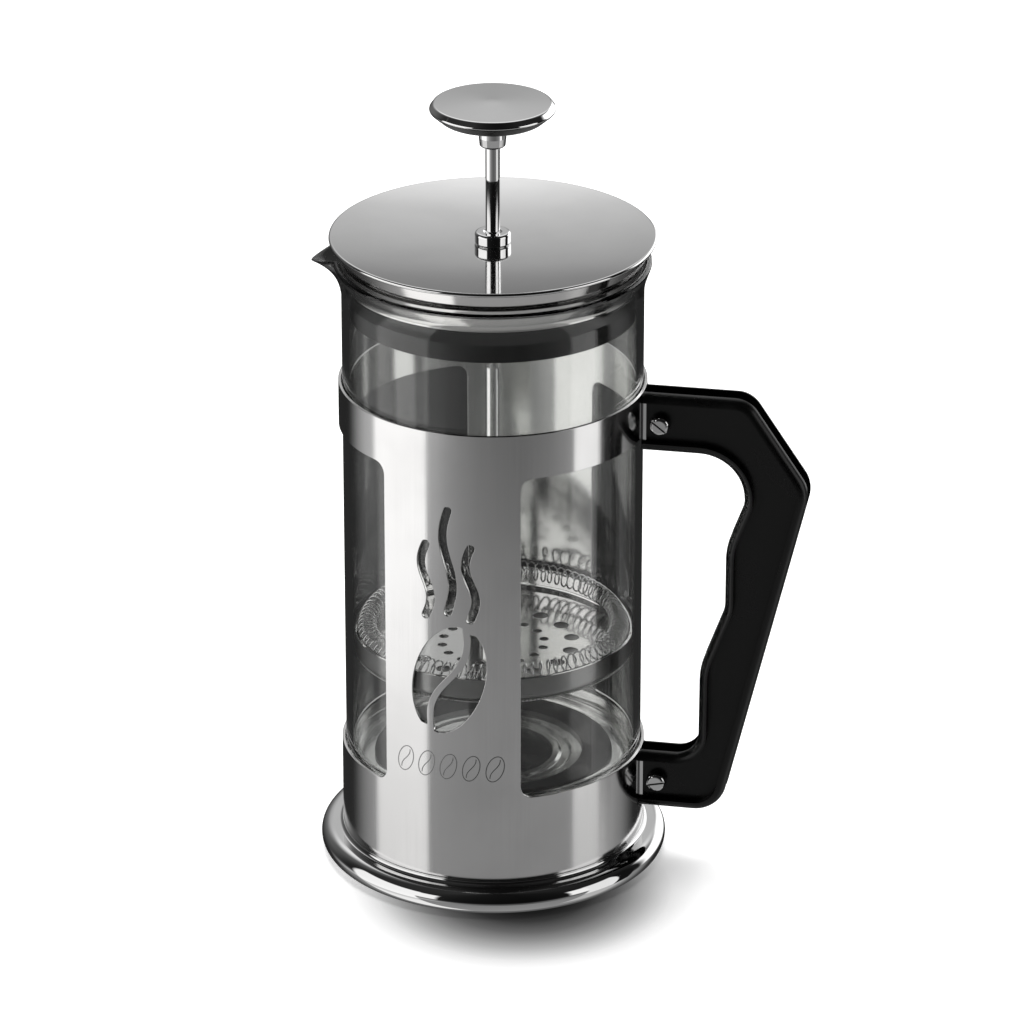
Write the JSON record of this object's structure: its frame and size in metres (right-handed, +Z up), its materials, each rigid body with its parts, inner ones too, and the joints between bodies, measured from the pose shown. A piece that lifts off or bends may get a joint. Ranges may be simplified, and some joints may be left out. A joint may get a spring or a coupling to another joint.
{
  "type": "french press",
  "caption": "Glass coffee press in a polished steel frame with a black side handle, a dished steel lid and a sliding plunger with a disc knob.",
  "frame": {"origin": "on the pot's vertical axis, in the plane of the foot pad that it stands on", "axes": "+Z up along the plunger, +X towards the handle, -X towards the spout"},
  "size_m": [0.1664, 0.1166, 0.2666],
  "materials": {
    "frame_steel": "polished sheet steel with fine upright grain",
    "base_chrome": "bright chrome",
    "seat_steel": "pressed steel",
    "cushion_rubber": "soft grey silicone",
    "foot_rubber": "matt black rubber",
    "handle_black": "satin black moulded plastic",
    "bracket_steel": "plain sheet steel",
    "screw_chrome": "bright plated",
    "beaker_glass": "clear borosilicate glass",
    "lid_steel": "mirror-polished steel",
    "liner_steel": "polished steel",
    "insert_black": "satin black plastic",
    "rod_chrome": "bright chrome",
    "knob_chrome": "mirror-polished",
    "filter_steel": "polished sheet steel",
    "spring_steel": "bright drawn wire",
    "mesh_steel": "fine woven wire"
  },
  "bodies": {
    "frame": {"frame_cage": "frame_steel", "base_ring": "base_chrome", "beaker_seat": "seat_steel", "seat_cushion": "cushion_rubber", "foot_pad": "foot_rubber", "handle": "handle_black", "upper_bracket": "bracket_steel", "lower_bracket": "bracket_steel", "upper_screw": "screw_chrome", "lower_screw": "screw_chrome", "upper_nut": "screw_chrome", "lower_nut": "screw_chrome"},
    "beaker": {"beaker": "beaker_glass"},
    "lid": {"lid_cap": "lid_steel", "lid_liner": "liner_steel", "lid_insert": "insert_black", "rod_bushing": "rod_chrome", "bushing_nut": "screw_chrome"},
    "plunger": {"knob": "knob_chrome", "knob_ferrule": "rod_chrome", "plunger_rod": "rod_chrome", "rod_boss": "filter_steel", "filter_dish": "filter_steel", "filter_coil": "spring_steel", "filter_mesh": "mesh_steel", "cross_plate": "filter_steel", "filter_nut": "screw_chrome"}
  },
  "joints": [
    {"name": "beaker_lift", "type": "slide", "parent": "frame", "child": "beaker", "axis": [0, 0, 1], "range_m": [0, 0.14]},
    {"name": "lid_lift", "type": "slide", "parent": "beaker", "child": "lid", "axis": [0, 0, 1], "range_m": [0, 0.15]},
    {"name": "plunger_slide", "type": "slide", "parent": "lid", "child": "plunger", "axis": [0, 0, 1], "range_m": [-0.029, 0.105]}
  ]
}
